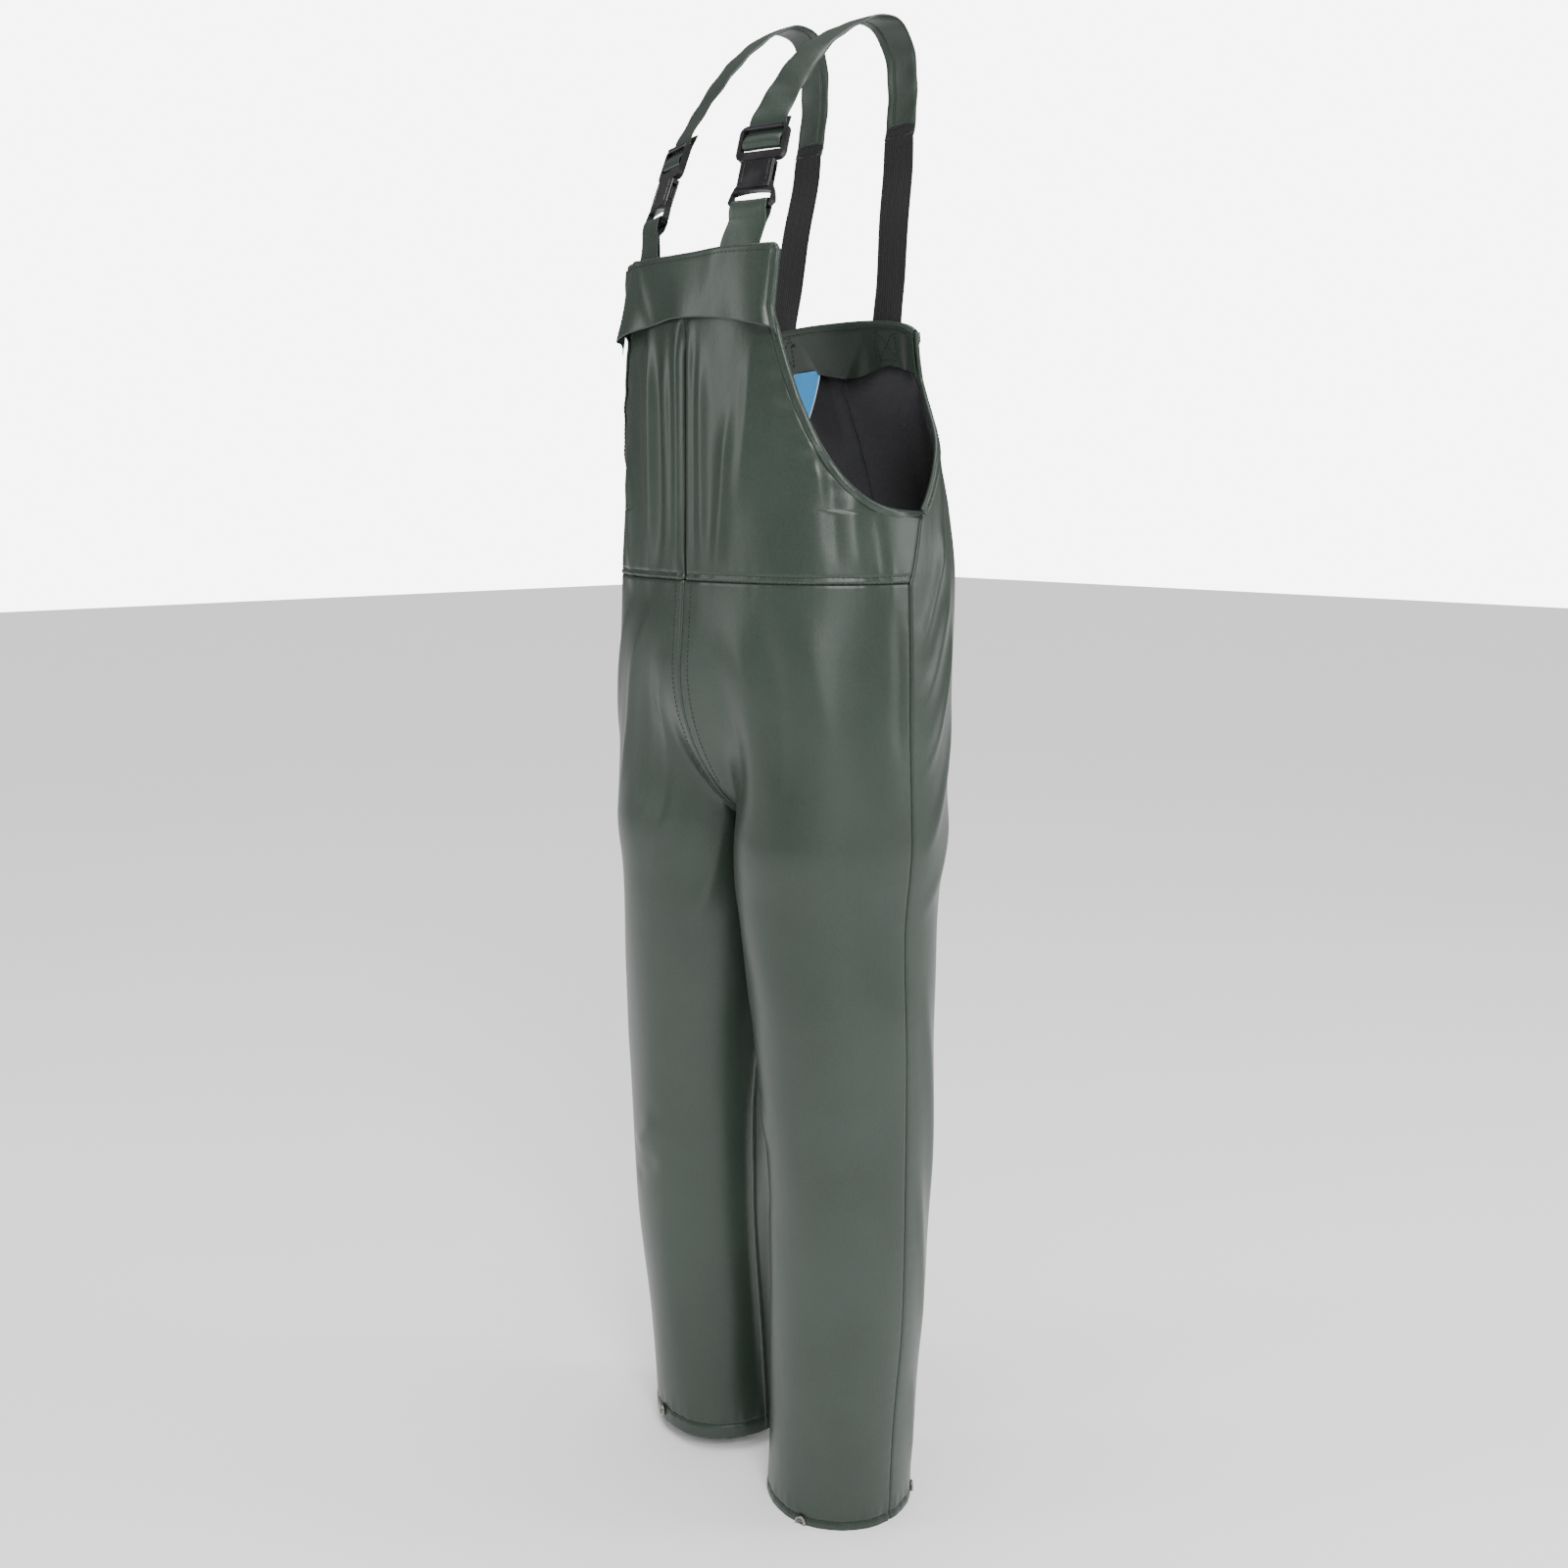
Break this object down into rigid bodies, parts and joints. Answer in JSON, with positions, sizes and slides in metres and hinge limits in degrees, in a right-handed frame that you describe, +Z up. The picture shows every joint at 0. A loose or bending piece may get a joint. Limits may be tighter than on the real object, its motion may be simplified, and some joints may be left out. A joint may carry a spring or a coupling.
{
  "type": "bib-and-brace rain overall",
  "caption": "Green bib-and-brace rain overall in worn shape, with a flapped bib, elastic braces, side-release buckles and press studs at the leg ends.",
  "frame": {"origin": "midway between the two shoulder straps, on the undersides that lie on the shoulders", "axes": "+Z up, -Y towards the wearer's front, +X towards the wearer's left"},
  "size_m": [0.384, 0.264, 1.4692],
  "materials": {
    "rain_cloth": "satin, coated",
    "lining": "matte knit",
    "elastic": "ribbed weave",
    "buckle_plastic": "fine satin",
    "stud_metal": "satin",
    "label": "smooth"
  },
  "bodies": {
    "garment": {"back_band": "rain_cloth", "bib_backing": "lining", "bib_flap": "rain_cloth", "care_label": "label", "left_leg_front": "rain_cloth", "left_back_panel": "rain_cloth", "left_bib_panel": "rain_cloth", "left_leg_hem": "rain_cloth", "left_front_armhole_tape": "rain_cloth", "left_back_armhole_tape": "rain_cloth", "left_bib_loop": "rain_cloth", "left_buckle_socket": "buckle_plastic", "left_hem_studs": "stud_metal", "right_leg_front": "rain_cloth", "right_back_panel": "rain_cloth", "right_bib_panel": "rain_cloth", "right_leg_hem": "rain_cloth", "right_front_armhole_tape": "rain_cloth", "right_back_armhole_tape": "rain_cloth", "right_bib_loop": "rain_cloth", "right_buckle_socket": "buckle_plastic", "right_hem_studs": "stud_metal"},
    "left_brace": {"left_elastic_web": "elastic", "left_shoulder_strap": "rain_cloth"},
    "left_plug": {"left_buckle_plug": "buckle_plastic"},
    "left_outer_prong": {"left_buckle_outer_prong": "buckle_plastic"},
    "left_inner_prong": {"left_buckle_inner_prong": "buckle_plastic"},
    "right_brace": {"right_elastic_web": "elastic", "right_shoulder_strap": "rain_cloth"},
    "right_plug": {"right_buckle_plug": "buckle_plastic"},
    "right_outer_prong": {"right_buckle_outer_prong": "buckle_plastic"},
    "right_inner_prong": {"right_buckle_inner_prong": "buckle_plastic"}
  },
  "joints": [
    {"name": "left_brace_swing", "type": "hinge", "parent": "garment", "child": "left_brace", "pos_m": [0.06659, -0.01619, -0.22012], "axis": [-0.9955, -0.0311, -0.089], "range_deg": [0, 120], "deforming": ["left_elastic_web"]},
    {"name": "left_plug_slide", "type": "slide", "parent": "left_brace", "child": "left_plug", "axis": [-0.0943, 0.3288, 0.9397], "range_m": [0, 0.03], "deforming": ["left_shoulder_strap"]},
    {"name": "left_outer_prong_flex", "type": "hinge", "parent": "left_plug", "child": "left_outer_prong", "pos_m": [0.07508, -0.15863, -0.15666], "axis": [-0.259, 0.9033, -0.342], "range_deg": [0, 7], "stiffness_Nm_per_rad": 0.05},
    {"name": "left_inner_prong_flex", "type": "hinge", "parent": "left_plug", "child": "left_inner_prong", "pos_m": [0.05585, -0.16414, -0.15666], "axis": [0.259, -0.9033, 0.342], "range_deg": [0, 7], "stiffness_Nm_per_rad": 0.05},
    {"name": "right_brace_swing", "type": "hinge", "parent": "garment", "child": "right_brace", "pos_m": [-0.06659, -0.01619, -0.22012], "axis": [-0.9955, 0.0311, 0.089], "range_deg": [0, 120], "deforming": ["right_elastic_web"]},
    {"name": "right_plug_slide", "type": "slide", "parent": "right_brace", "child": "right_plug", "axis": [0.0943, 0.3288, 0.9397], "range_m": [0, 0.03], "deforming": ["right_shoulder_strap"]},
    {"name": "right_outer_prong_flex", "type": "hinge", "parent": "right_plug", "child": "right_outer_prong", "pos_m": [-0.07508, -0.15863, -0.15666], "axis": [-0.259, -0.9033, 0.342], "range_deg": [0, 7], "stiffness_Nm_per_rad": 0.05},
    {"name": "right_inner_prong_flex", "type": "hinge", "parent": "right_plug", "child": "right_inner_prong", "pos_m": [-0.05585, -0.16414, -0.15666], "axis": [0.259, 0.9033, -0.342], "range_deg": [0, 7], "stiffness_Nm_per_rad": 0.05}
  ]
}
